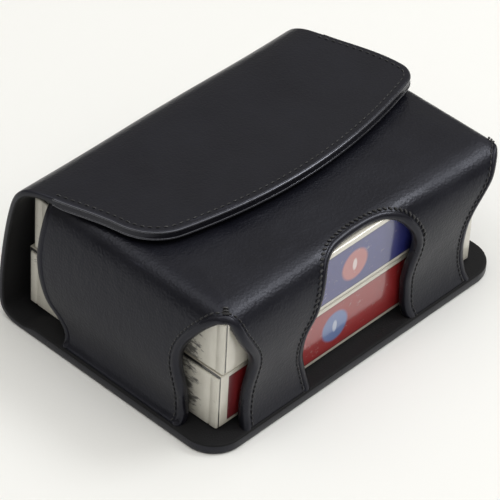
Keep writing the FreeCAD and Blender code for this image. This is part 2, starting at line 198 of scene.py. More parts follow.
SPINE_LINE = [(26.0, 0.0), (30.4, 0.05), (33.6, 1.0), (35.7, 3.2), (36.6, 7.0), (36.85, 13.0),
              (36.6, 20.0), (35.9, 26.5), (34.8, 32.0), (33.5, 36.6), (31.9, 39.6),
              (29.6, 41.7), (26.6, 42.8), (22.5, 43.1), (16.0, 43.15), (8.0, 43.3),
              (0.0, 43.6), (-8.0, 44.0), (-14.0, 44.25)]
BASE_RUN = 26.0 + BASE_FRONT

spine_points = smooth_curve(SPINE_LINE, 420)
spine_lengths = arc_length(spine_points) + BASE_RUN
STRAP_END = spine_lengths[-1]


def strap_line(s):
    """(y, z) and the outward direction of the strap's outer line at length s."""
    if s <= BASE_RUN:
        return np.array([s - BASE_FRONT, 0.0]), np.array([0.0, -1.0])
    s = min(s, STRAP_END)
    here = np.array([np.interp(s, spine_lengths, spine_points[:, k]) for k in (0, 1)])
    near = [np.interp(np.clip([s - 0.6, s + 0.6], BASE_RUN, STRAP_END), spine_lengths,
                      spine_points[:, k]) for k in (0, 1)]
    along = unit((near[0][1] - near[0][0], near[1][1] - near[1][0]))
    return here, np.array([along[1], -along[0]])


def strap_at(y_value):
    """Length along the strap where the flap's line has that y."""
    return float(np.interp(-y_value, -spine_points[180:, 0], spine_lengths[180:]))


TOP_FOLD_S = strap_at(30.0)
FLAP_TIP_S = strap_at(-FLAP_FRONT - FLAP_BOW)
WALL_MID_S = BASE_RUN + 27.0


def strap_half(s):
    """Half the strap's width."""
    return BASE_HALF + (FLAP_HALF - BASE_HALF) * ease((s - BASE_RUN - 5) / 34)


def strap_middle(s):
    """x of the strap's centre line, which leans a little as it comes forward."""
    return -2.6 * ease((s - BASE_RUN - 4) / 36) + 7.2 * ease((s - TOP_FOLD_S + 4) / 34)


def flap_corner(u):
    """The flap's front corners: the left one is worn rounder."""
    return LEFT_CORNER if u < 0 else RIGHT_CORNER


def strap_gauge(s):
    """Thickness: board in the base and in the flap, none in the spine."""
    spine = ease((s - BASE_RUN + 3) / 5) * (1 - ease((s - TOP_FOLD_S - 6) / 6))
    return BOARDED + (SPINE - BOARDED) * spine


def strap_bow(u):
    return FLAP_BOW * (1 - u * u)


def bow_share(s):
    """How much of the front edge's bow the flap has at length s."""
    return ease((s - TOP_FOLD_S - 8) / (FLAP_TIP_S - TOP_FOLD_S - 20))


def strap_margin(s, u):
    """Distance from the strap's nearest free edge."""
    half = strap_half(s)
    if s < WALL_MID_S:
        front, corner = s, BASE_CORNER
    else:
        front, corner = FLAP_TIP_S - FLAP_BOW + strap_bow(u) - s, flap_corner(u)
    side = half - abs(u) * half
    if front < corner and side < corner:
        return corner - math.hypot(corner - front, corner - side)
    return min(front, side)


def strap_point(s, u, depth):
    """A point of the strap: u runs from -1 to 1 across it, depth goes into it."""
    line, out = strap_line(s)
    half = strap_half(s)
    x = strap_middle(s) + u * half
    gauge = strap_gauge(s)
    margin = max(strap_margin(s, u), 0.0)
    rounding = ROLL - math.sqrt(max(ROLL ** 2 - max(ROLL - margin, 0) ** 2, 0))
    depth = depth + rounding * (1 - 2 * depth / gauge)
    wave = strap_wave(s, u, x) * min(margin / 6 + 0.25, 1)
    point = line - out * (depth - wave)
    return np.array([x, point[0], point[1]])


def strap_wave(s, u, x):
    """Soft unevenness of the leather over its board."""
    if s < BASE_RUN + 8:
        return 0.0
    ripple = 0.10 * math.sin(x * 0.11 + s * 0.07) + 0.07 * math.sin(x * 0.05 - s * 0.16 + 1.3)
    return ripple * ease((s - BASE_RUN - 8) / 12)


def front_rows(corner):
    """Distances from a free end with the rounding and the corner arc resolved."""
    arc = [corner * (1 - math.cos(a)) for a in np.linspace(0, math.pi / 2, 11)]
    return sorted(set(np.round(arc + [0.05, 0.15, 0.35, 0.6, 0.95, 1.35, 2.0, 3.0], 3)))


def strap_columns(count=62):
    edge = [1 - e / 50 for e in (0, 0.06, 0.18, 0.4, 0.7, 1.1, 1.6, 2.4, 3.6)]
    inner = list(np.linspace(-0.9, 0.9, count))
    return [-v for v in edge] + inner + edge[::-1]


def strap_rows(s_values, inner, bowed=False):
    rows = []
    for s in s_values:
        row = []
        for u in strap_columns():
            at, across = strap_place(s, u, bowed)
            row.append(strap_point(at, across, strap_gauge(at) if inner else 0.0))
        rows.append(row)
    return rows


def strap_place(s, u, bowed):
    """Move a grid place onto the rounded outline of the base or of the flap."""
    if not bowed:
        corner, front = BASE_CORNER, s
    else:
        corner, front = flap_corner(u), FLAP_TIP_S - FLAP_BOW - s
    half = strap_half(s)
    if front < corner:
        reach = corner - math.sqrt(max(corner ** 2 - (corner - max(front, 0)) ** 2, 0))
        u = u * (half - reach) / half
    if bowed:
        s = s + strap_bow(u) * bow_share(s)
    return s, u


def strap_lower(materials):
    """Base panel, bottom bend and the lower half of the rear wall."""
    s_values = front_rows(BASE_CORNER) + list(np.linspace(12, BASE_RUN - 3, 16))
    s_values += list(np.linspace(BASE_RUN - 1.5, BASE_RUN + 14, 26))
    s_values += list(np.linspace(BASE_RUN + 15.5, WALL_MID_S, 8))
    sheet = Sheet()
    sheet.shell(strap_rows(s_values, False), strap_rows(s_values, True), (0, 1, 2))
    piece = sheet.build("base_and_spine", materials)
    sharpen(piece, 50)
    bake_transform(piece)
    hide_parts("base_leather", "base_stiffener", "base_lining", "rear_wall_leather",
                "rear_wall_lining")
    return piece


def strap_upper(materials):
    """Upper half of the rear wall, the top fold and the flap."""
    end = FLAP_TIP_S - FLAP_BOW
    s_values = list(np.linspace(WALL_MID_S, TOP_FOLD_S - 16, 6))
    s_values += list(np.linspace(TOP_FOLD_S - 14.5, TOP_FOLD_S + 13, 34))
    s_values += list(np.linspace(TOP_FOLD_S + 15, end - 10, 12))
    tip = sorted(set(front_rows(LEFT_CORNER) + front_rows(RIGHT_CORNER)))
    s_values += [end - d for d in reversed(clustered(0, tip[-1], 3.0, tip))]
    sheet = Sheet()
    sheet.shell(strap_rows(s_values, False, True), strap_rows(s_values, True, True), (0, 1, 2))
    piece = sheet.build("flap_and_fold", materials)
    sharpen(piece, 50)
    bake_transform(piece)
    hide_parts("flap_leather", "flap_stiffener", "flap_lining")
    return piece


# ---------------------------------------------------------------- the pocket's shape

FRONT_PROFILE = [(0.5, 0.4), (0.75, 1.8), (0.45, 3.4), (-0.3, 5.6), (-0.8, 9.0), (-0.8, 13.5),
                 (-0.2, 18.5), (0.3, 23.0), (0.4, 27.0), (0.0, 30.8), (-1.0, 34.2),
                 (-2.9, 37.2), (-5.7, 38.9), (-9.6, 39.55)]
FRONT_FULL_PROFILE = [(0.5, 0.4), (0.75, 1.8), (0.45, 3.4), (-0.3, 5.6), (-0.8, 9.0),
                      (-0.8, 13.5), (-0.2, 19.0), (0.6, 24.5), (1.0, 29.5), (0.9, 33.0),
                      (-0.2, 36.1), (-2.2, 38.2), (-5.2, 39.4), (-9.2, 39.7)]
SIDE_PROFILE = [(1.7, 2.9), (1.2, 3.4), (0.5, 4.4), (-0.1, 6.6), (-0.1, 10.0), (0.3, 14.0),
                (0.4, 18.5), (0.0, 23.0), (-0.8, 27.5), (-1.8, 31.5), (-2.9, 34.9), (-4.5, 37.6),
                (-7.0, 39.2), (-10.4, 39.7)]
FULL_PROFILE = [(1.7, 2.9), (1.2, 3.4), (0.5, 4.4), (-0.3, 6.6), (-0.5, 10.0), (-0.1, 14.0),
                (0.4, 18.5), (0.9, 23.0), (1.2, 27.5), (1.4, 31.5), (1.5, 35.0), (1.3, 37.3),
                (0.2, 38.9), (-2.5, 39.8)]
PROFILE_COUNT = 320
PROFILE_STEPS = np.arange(PROFILE_COUNT)
TOP_CORNER = 1.6
TOP_Z = 39.8
front_profile = smooth_curve(FRONT_PROFILE, PROFILE_COUNT)
front_full_profile = smooth_curve(FRONT_FULL_PROFILE, PROFILE_COUNT)
side_profile = smooth_curve(SIDE_PROFILE, PROFILE_COUNT)
full_profile = smooth_curve(FULL_PROFILE, PROFILE_COUNT)
FRONT_LENGTH = arc_length(front_profile)[-1]

SIDE_RUN = WALL_REAR + WALL_FRONT - WALL_CORNER
CORNER_RUN = WALL_CORNER * math.pi / 2
FRONT_RUN = 2 * (WALL_HALF - WALL_CORNER)
LEFT_CORNER_P = SIDE_RUN + CORNER_RUN / 2
FRONT_P = SIDE_RUN + CORNER_RUN + FRONT_RUN / 2
RIGHT_CORNER_P = 2 * FRONT_P - LEFT_CORNER_P
TOTAL_P = 2 * FRONT_P


def plan(p):
    """Which stretch of the pocket's footprint run p is on, its share of it, and the side."""
    mirrored = p > FRONT_P
    q = TOTAL_P - p if mirrored else p
    sign = -1.0 if mirrored else 1.0
    if q <= SIDE_RUN:
        return "side", q / SIDE_RUN, sign
    if q <= SIDE_RUN + CORNER_RUN:
        return "corner", (q - SIDE_RUN) / CORNER_RUN, sign
    return "front", (q - SIDE_RUN - CORNER_RUN) / (FRONT_RUN / 2), sign


def wall_point(p, c):
    """Point of the pocket's outer face at run p round it and c up its profile."""
    if c > FLAT_C:
        edge = wall_point(p, FLAT_C)
        share = (c - FLAT_C) / (REAR_C - FLAT_C)
        x, y = edge[:2] + (np.array([edge[0] * 0.6, WALL_REAR]) - edge[:2]) * share
        return np.array([x, y, edge[2] + (TOP_Z - edge[2]) * ease(4 * share)])
    at = c / FRONT_LENGTH * (PROFILE_COUNT - 1)
    stretch, share, sign = plan(p)
    side_out, side_z, soft_out, soft_z, full_out, full_z = (
        np.interp(at, PROFILE_STEPS, profile[:, k])
        for profile in (side_profile if sign > 0 else full_profile, front_profile,
                        front_full_profile)
        for k in (0, 1))
    full = 0.0 if sign > 0 else ease(1 - 1.3 * share) if stretch == "front" else 1.0
    front_out = soft_out + (full_out - soft_out) * full
    front_z = soft_z + (full_z - soft_z) * full
    radius = WALL_CORNER - (WALL_CORNER - TOP_CORNER) * ease((c - 31) / (FLAT_C - 31))
    x_end = WALL_HALF + side_out - radius
    y_end = WALL_FRONT + front_out - radius
    if stretch == "side":
        x, y, z = x_end + radius, -WALL_REAR + share * (y_end + WALL_REAR), side_z
    elif stretch == "corner":
        turn = share * math.pi / 2
        weight = ease(share)
        x = x_end + radius * math.cos(turn)
        y = y_end + radius * math.sin(turn)
        z = side_z * (1 - weight) + front_z * weight
    else:
        x, y, z = x_end * (1 - share), y_end + radius, front_z
    x, y = -sign * x, -y
    return np.array([x, y, z + wall_wave(x, y, z)])


def wall_wave(x, y, z):
    """Gentle sag of the pocket's top."""
    if z < 38.5:
        return 0.0
    return -0.25 * math.exp(-((x - 6) / 30) ** 2 - ((y + 20) / 16) ** 2) * ease(z - 38.5)


def wall_normal(p, c):
    dp = wall_point(p + 0.25, c) - wall_point(p - 0.25, c)
    dc = wall_point(p, min(c + 0.25, FLAT_C)) - wall_point(p, max(min(c, FLAT_C) - 0.25, 0))
    return unit(np.cross(dp, dc))


def wall_place(p, c, height):
    """Point above (positive) or below the outer face."""
    return wall_point(p, c) + wall_normal(p, c) * height


# ---------------------------------------------------------------- the pocket's openings

CORNER_SIDE_EDGE = [(11.8, 0.0), (11.3, 5.1), (11.0, 10.3), (11.8, 14.1), (12.9, 17.1),
                    (13.7, 20.0), (13.8, 22.9), (13.0, 26.0), (11.3, 29.0), (8.3, 32.7),
                    (5.4, 35.6), (3.1, 37.2), (0.0, APEX_C)]
CORNER_FRONT_EDGE = [(8.8, 0.0), (9.0, 6.1), (9.8, 10.7), (10.5, 14.9), (10.9, 18.8),
                     (10.9, 22.0), (9.7, 25.3), (7.5, 28.4), (5.0, 31.9), (3.5, 35.2),
                     (2.1, 37.2), (0.0, APEX_C)]
FRONT_LEFT_EDGE = [(17.8, 0.0), (18.4, 6.1), (19.7, 13.3), (20.0, 18.8), (19.2, 22.0),
                   (17.2, 25.3), (15.7, 29.0), (14.5, 32.5), (12.8, 35.8), (10.9, 37.8),
                   (8.0, 39.2), (4.0, 39.8), (0.0, CROWN_C)]
FRONT_RIGHT_EDGE = [(18.6, 0.0), (17.8, 5.0), (17.7, 10.2), (17.2, 14.8), (17.3, 19.2),
                    (18.0, 22.8), (18.4, 26.1), (17.5, 29.7), (15.7, 33.0), (13.4, 36.0),
                    (9.4, 38.7), (5.0, 39.8), (0.0, CROWN_C)]
REAR_EDGE = [(11.3, 0.0), (10.7, 3.0), (9.8, 5.1), (7.8, 7.4), (5.3, 9.5), (3.6, 12.4),
             (2.2, 16.5), (1.1, 20.6), (0.5, 24.4), (0.3, 29.0), (0.3, 33.9), (0.2, 38.0),
             (0.0, FLAT_C)]
corner_side_edge, corner_front_edge, front_left_edge, front_right_edge, rear_edge = (
    smooth_curve(edge, 260) for edge in (CORNER_SIDE_EDGE, CORNER_FRONT_EDGE,
                                         FRONT_LEFT_EDGE, FRONT_RIGHT_EDGE, REAR_EDGE))


def reach_at(edge, c):
    """Distance of an opening's edge from its centre line at height c."""
    if c >= edge[-1, 1]:
        return 0.0
    return float(np.interp(c, edge[:, 1], edge[:, 0]))


def panel_bounds(c):
    """Where each of the four wall panels starts and ends at height c."""
    corner_side, corner_front, left, right, rear = (
        reach_at(edge, c) for edge in (corner_side_edge, corner_front_edge, front_left_edge,
                                       front_right_edge, rear_edge))
    return [(rear, LEFT_CORNER_P - corner_side),
            (LEFT_CORNER_P + corner_front, FRONT_P - left),
            (FRONT_P + right, RIGHT_CORNER_P - corner_front),
            (RIGHT_CORNER_P + corner_side, TOTAL_P - rear)]


def pocket(materials):
    """The moulded pocket: four wall panels that merge over the windows into one top."""
    near = (0.03, 0.1, 0.25, 0.5, 0.85, 1.3, 1.9, 2.7)
    fine = [APEX_C - d for d in near] + [CROWN_C - d for d in near] + [APEX_C, CROWN_C]
    c_values = clustered(0, FLAT_C, 1.15, fine) + list(np.linspace(FLAT_C, REAR_C, 13))[1:]
    outer_sheet = Sheet()
    for panel, columns in enumerate((38, 20, 20, 38)):
        rows, inner = [], []
        for c in c_values:
            low, high = panel_bounds(c)[panel]
            places = np.linspace(low, high, columns)
            rows.append([wall_point(p, c) for p in places])
            inner.append([wall_place(p, c, -SKIN) for p in places])
        outer_sheet.grid(rows, 0)
        outer_sheet.grid(inner, 1, flip=True)
        for side, (near_side, far_side) in enumerate(((0, 1), (1, 0))):
            add_panel_edge(outer_sheet, rows, inner, c_values, panel, side)
    piece = outer_sheet.build("pocket_skin", materials, weld=0.004)
    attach(piece, CASE)
    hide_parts("pocket_leather", "pocket_lining")
    return piece


def add_panel_edge(sheet, rows, inner, c_values, panel, side):
    """Close the thickness along a panel's free edge and along its foot."""
    top = {(0, 0): REAR_C, (0, 1): APEX_C, (1, 0): APEX_C, (1, 1): CROWN_C,
           (2, 0): CROWN_C, (2, 1): APEX_C, (3, 0): APEX_C, (3, 1): REAR_C}[(panel, side)]
    column = 0 if side == 0 else -1
    count = sum(1 for c in c_values if c <= top + 1e-9)
    out_numbers = sheet.add([row[column] for row in rows[:count]])
    in_numbers = sheet.add([row[column] for row in inner[:count]])
    sheet.strip(out_numbers, in_numbers, 2)
    if side == 0:
        foot_out = sheet.add(rows[0])
        foot_in = sheet.add(inner[0])
        sheet.strip(foot_in, foot_out, 2)
        rear_out = sheet.add(rows[-1])
        rear_in = sheet.add(inner[-1])
        sheet.strip(rear_out, rear_in, 2)


# ---------------------------------------------------------------- bindings and stitches

ROLLED_SECTION = [(-0.25, -2.3), (-0.4, -1.7), (-0.45, -1.0), (-0.35, -0.4), (-0.05, 0.0),
                  (0.4, 0.22), (0.95, 0.3), (1.3, 0.2), (1.45, -0.05), (1.3, -0.4),
                  (0.6, -1.0), (0.1, -1.7), (0.0, -2.3)]
ARCH_C = 27.0
SLIM_SECTION = [(-0.1, -2.0), (-0.3, -1.2), (-0.3, -0.2), (-0.05, 0.15), (0.4, 0.28),
                (1.0, 0.26), (1.4, 0.1), (1.5, -0.2), (0.8, -0.45)]


def opening_path(before, after, centre):
    """(p, c) places round an opening, up one side and down the other."""
    up = [(centre - reach, c) for reach, c in before]
    down = [(centre + reach, c) for reach, c in after]
    return np.array(up + down[::-1][1:])


def split_opening(opening, level):
    """The part of an opening above a height, and its two legs below."""
    path, inside = opening
    high = path[:, 1] > level
    first, last = np.flatnonzero(high)[[0, -1]]
    return (path[high], inside), [(path[:first], inside), (path[last + 1:], inside)]


def even_path(path, step):
    length = arc_length(path)
    wanted = np.linspace(0, length[-1], max(2, round(length[-1] / step) + 1))
    return np.column_stack([np.interp(wanted, length, path[:, k]) for k in (0, 1)])


def outward_steps(path, centre):
    """In-surface unit steps away from the opening, one per place on the path."""
    along = np.gradient(path, axis=0)
    along = along / np.linalg.norm(along, axis=1)[:, None]
    across = np.column_stack([-along[:, 1], along[:, 0]])
    if np.dot(across[0], path[0] - centre) < 0:
        across = -across
    return across


def binding(name, paths, section, materials, nodes=()):
    """A turned leather edge that wraps an opening."""
    sheet = Sheet()
    for path, inside in paths:
        places = even_path(path, 0.8)
        steps = outward_steps(places, inside)
        rings = []
        for place, step in zip(places, steps):
            deep = 0.35 + 0.65 * ease(abs(place[0] - inside[0]) / 3.5)
            rings.append([wall_place(*(place + step * reach), height * (1 if height > 0 else deep))
                          for reach, height in section])
        sweep(sheet, rings)
    piece = sheet.build(name, materials)
    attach(piece, CASE)
    if nodes:
        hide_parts(*nodes)
    return piece


def stitch_row(sheet, points, normals, pitch=1.5, length=1.12, radius=0.27, slant=0.0):
    """Thread beads along a line of points on a skin; slant turns each one off the line."""
    distance = arc_length(points)
    count = int(distance[-1] / pitch)
    for k in range(count):
        middle = (k + 0.5) * distance[-1] / count
        ends = [np.array([np.interp(middle + d, distance, points[:, a]) for a in range(3)])
                for d in (-length / 2, length / 2)]
        normal = unit([np.interp(middle, distance, normals[:, a]) for a in range(3)])
        aside = np.cross(ends[1] - ends[0], normal) * slant
        bead(sheet, ends[0] - aside, ends[1] + aside, normal, radius)


def bead(sheet, start, end, normal, radius):
    """One stitch: a thread that dips into the leather at both ends."""
    along = unit(end - start)
    across = unit(np.cross(along, normal))
    sections = []
    for t in (0.0, 0.12, 0.32, 0.68, 0.88, 1.0):
        swell = math.sin(math.pi * (0.08 + 0.84 * t)) ** 0.5
        lift = 0.16 * math.sin(math.pi * t) - 0.06
        centre = start + (end - start) * t + normal * lift
        ring = []
        for a in np.linspace(0, 2 * math.pi, 7)[:-1]:
            ring.append(centre + (across * math.cos(a) + normal * math.sin(a)) * radius * swell)
        sections.append(ring)
    sweep(sheet, sections)


def wall_stitches(name, paths, offset, materials, nodes, **stitch):
    sheet = Sheet()
    for path, inside in paths:
        places = even_path(path, 0.6)
        shifted = places + outward_steps(places, inside) * offset
        shifted = even_path(shifted, 0.6)
        points = np.array([wall_place(*place, 0.05) for place in shifted])
        normals = np.array([wall_normal(*place) for place in shifted])
        stitch_row(sheet, points, normals, **stitch)
    piece = sheet.build(name, materials)
    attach(piece, CASE)
    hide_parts(*nodes)
    return piece


def corner_tacks(name, centres, materials):
    """Three heavy stitches over the point of each corner window."""
    sheet = Sheet()
    for centre in centres:
        for c in (APEX_C + 1.35, APEX_C + 1.95, APEX_C + 2.55):
            ends = [wall_place(centre + d, c, 0.3) for d in (-1.3, 1.3)]
            bead(sheet, *ends, wall_normal(centre, c), 0.33)
    piece = sheet.build(name, materials)
    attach(piece, CASE)
    return piece


def strap_stitches(name, places, materials, body, nodes):
    """Stitches on the strap; places are (s, u) pairs in order."""
    sheet = Sheet()
    points = np.array([strap_point(s, u, 0.0) for s, u in places])
    normals = np.array([[0, *strap_line(s)[1]] for s, u in places])
    stitch_row(sheet, points, normals, pitch=1.9, length=1.25, radius=0.21)
    piece = sheet.build(name, materials)
    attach(piece, body)
    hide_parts(*nodes)
    return piece


def burnished_edge(name, places, reach, material):
    """The polished lines along the upper and lower corners of the flap's free edge."""
    sheet = Sheet()
    for share in (0.14, 0.84):
        points = [strap_point(s, u, strap_gauge(s) * share) for s, u in places]
        sections = []
        for before, here, after in zip(points, points[1:], points[2:]):
            along = unit(after - before)
            across = unit(np.cross(along, (0.0, 0.0, 1.0)))
            up = np.cross(across, along)
            sections.append([here + (across * math.cos(a) + up * math.sin(a)) * reach
                             for a in np.linspace(0, 2 * math.pi, 11)[:-1]])
        sweep(sheet, sections)
    piece = sheet.build(name, [material])
    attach(piece, FLAP)
    return piece


def rim_path(inset, bowed, stop):
    """(s, u) places at an even distance from the strap's free edge."""
    result = []
    for sign in (-1, 1):
        corner = flap_corner(sign) if bowed else BASE_CORNER
        half = FLAP_HALF if bowed else BASE_HALF
        run = [(d, inset) for d in np.linspace(stop, corner, 30)[:-1]]
        for a in np.linspace(0, math.pi / 2, 14):
            reach = corner - inset
            run.append((corner - reach * math.sin(a), corner - reach * math.cos(a)))
        run += [(inset, x) for x in np.linspace(corner, half, 30)[1:]]
        result += [rim_place(front, aside, sign, bowed) for front, aside in run[::-sign]]
    return result


def rim_place(front, aside, sign, bowed):
    if not bowed:
        s = front
        return s, sign * (strap_half(s) - aside) / strap_half(s)
    s = FLAP_TIP_S - FLAP_BOW - front
    u = sign * (strap_half(s) - aside) / strap_half(s)
    return s + strap_bow(u) * bow_share(s), u


# ---------------------------------------------------------------- materials

class Shader:
    """Short forms for building one procedural material."""

    def __init__(self, name):
        self.material = bpy.data.materials.new(name)
        self.material.use_nodes = True
        self.tree = self.material.node_tree
        self.surface = self.tree.nodes["Principled BSDF"]
        self.coordinates = self.node("ShaderNodeTexCoord").outputs["Object"]

    def node(self, kind, **settings):
        node = self.tree.nodes.new(kind)
        for name, value in settings.items():
            setattr(node, name, value)
        return node

    def set(self, socket, value):
        if hasattr(value, "is_linked"):
            self.tree.links.new(value, socket)
        elif hasattr(socket.default_value, "__len__") and len(value) == 3 \
                and len(socket.default_value) == 4:
            socket.default_value = (*value, 1)
        else:
            socket.default_value = value

    def noise(self, scale, detail=4.0, roughness=0.55, stretch=None):
        node = self.node("ShaderNodeTexNoise")
        self.set(node.inputs["Scale"], scale)
        self.set(node.inputs["Detail"], detail)
        self.set(node.inputs["Roughness"], roughness)
        self.set(node.inputs["Vector"], self.stretched(stretch))
        return node.outputs["Fac"]

    def cells(self, scale, feature="F1", stretch=None):
        node = self.node("ShaderNodeTexVoronoi", feature=feature)
        self.set(node.inputs["Scale"], scale)
        self.set(node.inputs["Vector"], self.stretched(stretch))
        return node.outputs["Distance"]

    def stretched(self, stretch):
        if stretch is None:
            return self.coordinates
        node = self.node("ShaderNodeVectorMath", operation="MULTIPLY")
        self.set(node.inputs[0], self.coordinates)
        node.inputs[1].default_value = stretch
        return node.outputs[0]

    def remap(self, value, low, high, to_low, to_high):
        node = self.node("ShaderNodeMapRange")
        for name, number in (("From Min", low), ("From Max", high), ("To Min", to_low),
                             ("To Max", to_high)):
            self.set(node.inputs[name], number)
        self.set(node.inputs["Value"], value)
        return node.outputs["Result"]

    def math(self, operation, first, second=0.0):
        node = self.node("ShaderNodeMath", operation=operation)
        self.set(node.inputs[0], first)
        self.set(node.inputs[1], second)
        return node.outputs[0]

    def mix(self, share, first, second):
        node = self.node("ShaderNodeMix", data_type="RGBA")
        self.set(node.inputs["Factor"], share)
        self.set(node.inputs[6], first)
        self.set(node.inputs[7], second)
        return node.outputs[2]

    def bump(self, height, strength, distance, normal=None):
        node = self.node("ShaderNodeBump")
        self.set(node.inputs["Strength"], strength)
        self.set(node.inputs["Distance"], distance)
        self.set(node.inputs["Height"], height)
        if normal is not None:
            self.set(node.inputs["Normal"], normal)
        return node.outputs["Normal"]

    def finish(self, **sockets):
        for name, value in sockets.items():
            self.set(self.surface.inputs[name.replace("_", " ")], value)
        return self.material


def leather(name, dark, light, roughness, grain=1.0, gloss=0.32):
    """Smooth black leather: fine cells, soft creases, worn high spots."""
    s = Shader(name)
    blotch = s.noise(55, 5.0)
    crease = s.noise(170, 6.0, 0.6, (1.0, 1.6, 1.0))
    pores = s.cells(1500)
    fine = s.noise(3200, 3.0)
    worn = s.remap(s.node("ShaderNodeNewGeometry").outputs["Pointiness"], 0.50, 0.56, 0.0, 0.35)
    tone = s.mix(s.remap(blotch, 0.35, 0.7, 0.0, 1.0), dark, light)
    colour = s.mix(worn, tone, tuple(3.2 * v for v in light))
    relief = s.bump(crease, 0.16 * grain, 0.0006)
    relief = s.bump(pores, 0.22 * grain, 0.00012, relief)
    relief = s.bump(fine, 0.12 * grain, 0.00006, relief)
    rough = s.remap(blotch, 0.3, 0.7, roughness - 0.06, roughness + 0.07)
    return s.finish(Base_Color=colour, Roughness=rough, Normal=relief, Specular_IOR_Level=gloss,
                    Specular_Tint=(0.85, 0.875, 1.0))


def woven_lining(name):
    """Matt black lining with a fine weave."""
    s = Shader(name)
    threads = s.cells(2600, stretch=(1.0, 1.0, 2.2))
    blotch = s.noise(120)
    colour = s.mix(blotch, (0.003, 0.003, 0.004), (0.006, 0.006, 0.007))
    return s.finish(Base_Color=colour, Roughness=0.72, Normal=s.bump(threads, 0.35, 0.00012),
                    Specular_IOR_Level=0.25, Sheen_Weight=0.03)


def thread_finish(name):
    """Waxed black thread with a twist."""
    s = Shader(name)
    wave = s.node("ShaderNodeTexWave", wave_type="BANDS", bands_direction="DIAGONAL")
    s.set(wave.inputs["Scale"], 900.0)
    s.set(wave.inputs["Vector"], s.coordinates)
    return s.finish(Base_Color=(0.012, 0.012, 0.014), Roughness=0.40,
                    Normal=s.bump(wave.outputs["Fac"], 0.5, 0.0001), Sheen_Weight=0.1)


def brushed_metal(name, tone):
    s = Shader(name)
    lines = s.noise(900, 2.0, 0.5, (0.05, 1.0, 1.0))
    return s.finish(Base_Color=tone, Metallic=1.0, Roughness=s.remap(lines, 0.3, 0.7, 0.25, 0.4),
                    Normal=s.bump(lines, 0.08, 0.00005))


def edge_between(s, value, low, high, soft):
    """1 where value lies between low and high."""
    rise = s.remap(value, low - soft, low + soft, 0.0, 1.0)
    fall = s.remap(value, high - soft, high + soft, 1.0, 0.0)
    return s.math("MULTIPLY", rise, fall)


def printed_board(name, band, rim, emblem, pip, reach, emblem_x):
    """Cream tuck-box board with a coloured band, a round emblem and a small pip on its sides, with
    painted shade at the band's ends and on the end face.
    """
    s = Shader(name)
    parts = s.node("ShaderNodeSeparateXYZ")
    s.set(parts.inputs[0], s.coordinates)
    x, y, z = parts.outputs
    facing = s.node("ShaderNodeSeparateXYZ")
    s.set(facing.inputs[0], s.node("ShaderNodeNewGeometry").outputs["Normal"])
    long_side = s.remap(s.math("ABSOLUTE", facing.outputs[1]), 0.6, 0.8, 0.0, 1.0)
    cream = s.mix(s.noise(240, 5.0), (0.66, 0.63, 0.54), (0.76, 0.73, 0.65))
    across = edge_between(s, z, -0.0069, 0.0069, 0.00008)
    along = edge_between(s, x, -reach, reach, 0.0001)
    field = s.math("MULTIPLY", s.math("MULTIPLY", across, along), long_side)
    inner_z = edge_between(s, z, -0.0065, 0.0065, 0.00008)
    inner = s.math("MULTIPLY", inner_z, field)
    ink = s.mix(s.noise(900, 3.0), band, tuple(0.8 * v for v in band))
    colour = s.mix(field, cream, rim)
    colour = s.mix(inner, colour, ink)
    radius = flat_distance(s, x, z, emblem_x, 1.0)
    disc = s.math("MULTIPLY", s.remap(radius, 0.0040, 0.0048, 0.9, 0.0), long_side)
    colour = s.mix(disc, colour, emblem)
    mark = flat_distance(s, x, z, emblem_x, 0.42)
    drop = s.math("MULTIPLY", s.remap(mark, 0.0014, 0.0021, 0.8, 0.0), long_side)
    colour = s.mix(drop, colour, pip)
    scuff = s.remap(s.noise(420, 6.0, 0.7), 0.62, 0.72, 0.0, 0.5)
    colour = s.mix(s.math("MULTIPLY", scuff, field), colour, (0.55, 0.52, 0.47))
    # Painted shade: the band is darkened towards both ends of the box (|x| over 36.5 mm), where
    # the pocket's corners shade it.
    painted_shade_ramp = s.remap(s.math("ABSOLUTE", x), 0.0365, 0.0415, 0.0, 0.6)
    colour = s.mix(s.math("MULTIPLY", painted_shade_ramp, field), colour, (0.015, 0.012, 0.02))
    # Painted shade: faces turned to -X, the box end seen through the slit under the tuck flap, are
    # made near black.
    painted_shade_end_face = s.remap(facing.outputs[0], -0.8, -0.6, 1.0, 0.0)
    colour = s.mix(painted_shade_end_face, colour, (0.006, 0.006, 0.007))
    relief = s.bump(s.noise(1600, 3.0), 0.06, 0.00005)
    relief = s.bump(s.noise(120, 2.0), 0.12, 0.0006, relief)
    return s.finish(Base_Color=colour, Roughness=0.5, Normal=relief, Coat_Weight=1.0,
                    Coat_Roughness=0.12, Coat_IOR=1.9)


def flat_distance(s, x, z, centre_x, squeeze):
    """Distance from a point on the box's long side; squeeze narrows it along x."""
    across = s.math("DIVIDE", s.math("ABSOLUTE", s.math("SUBTRACT", x, centre_x)), squeeze)
    up = s.math("ABSOLUTE", z)
    return s.math("SQRT", s.math("ADD", s.math("MULTIPLY", across, across),
                                 s.math("MULTIPLY", up, up)))


